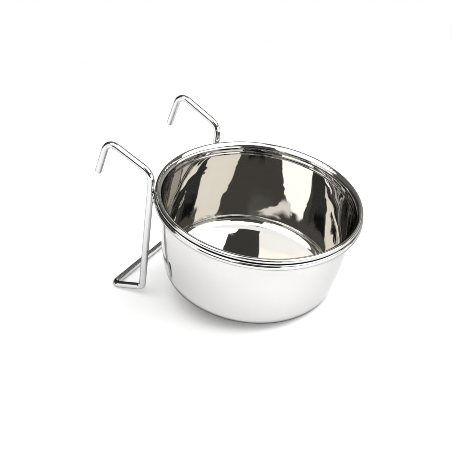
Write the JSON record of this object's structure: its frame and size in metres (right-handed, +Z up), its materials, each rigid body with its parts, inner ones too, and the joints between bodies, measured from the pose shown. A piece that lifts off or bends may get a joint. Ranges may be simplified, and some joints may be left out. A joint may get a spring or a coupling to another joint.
{
  "type": "hanging feeder cup",
  "caption": "Round steel feed bowl with a rolled rim, dropped into a wire ring on a bent wire bracket with hooks and a foot for hanging on a cage wall.",
  "frame": {"origin": "centre of the flat underside of the bowl", "axes": "+Z up along the bowl's axis, -Y towards the animal, +Y towards the cage wall and the hooks, X along the crossbar"},
  "size_m": [0.1208, 0.1496, 0.103],
  "materials": {
    "polished_steel": "mirror polished stainless steel",
    "ring_steel": "bright polished wire",
    "wire_steel": "bright polished wire",
    "weld_metal": "bright uneven weld metal"
  },
  "bodies": {
    "frame": {"support_ring": "ring_steel", "hanger_wire": "wire_steel", "weld_left": "weld_metal", "weld_right": "weld_metal"},
    "bowl": {"bowl": "polished_steel"}
  },
  "joints": [
    {"name": "bowl_lift", "type": "slide", "parent": "frame", "child": "bowl", "axis": [0, 0, 1], "range_m": [0, 0.08]}
  ]
}
